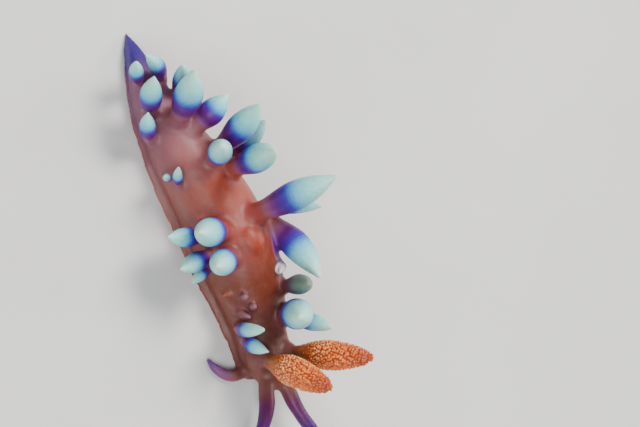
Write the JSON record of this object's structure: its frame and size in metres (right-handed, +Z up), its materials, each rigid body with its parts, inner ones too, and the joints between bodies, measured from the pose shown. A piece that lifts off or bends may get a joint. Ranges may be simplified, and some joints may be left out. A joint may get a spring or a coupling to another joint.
{
  "type": "desirable flabellina",
  "caption": "Aeolid sea slug, life size: slender pink body on a flat foot, blue-banded pale-tipped cerata, orange papillate rhinophores, long oral tentacles and a violet tail.",
  "frame": {"origin": "on the floor, on the flat sole of the foot under the middle of the body", "axes": "+X towards the head, +Y to the animal's left, +Z up out of the back"},
  "size_m": [0.0324, 0.0118, 0.0114],
  "materials": {
    "flesh": "gloss",
    "flesh_with_cerata": "gloss",
    "rhinophore": "satin",
    "tentacle": "gloss",
    "foot": "gloss",
    "tail_tip": "gloss"
  },
  "bodies": {
    "root": {"head": "flesh", "body_front": "flesh_with_cerata", "body_middle": "flesh_with_cerata", "body_rear": "flesh_with_cerata", "tail": "flesh_with_cerata", "tail_tip": "tail_tip", "foot": "foot", "foot_corner_left": "foot", "foot_corner_right": "foot", "rhinophore_left": "rhinophore", "rhinophore_right": "rhinophore", "oral_tentacle_left": "tentacle", "oral_tentacle_right": "tentacle"}
  },
  "joints": []
}
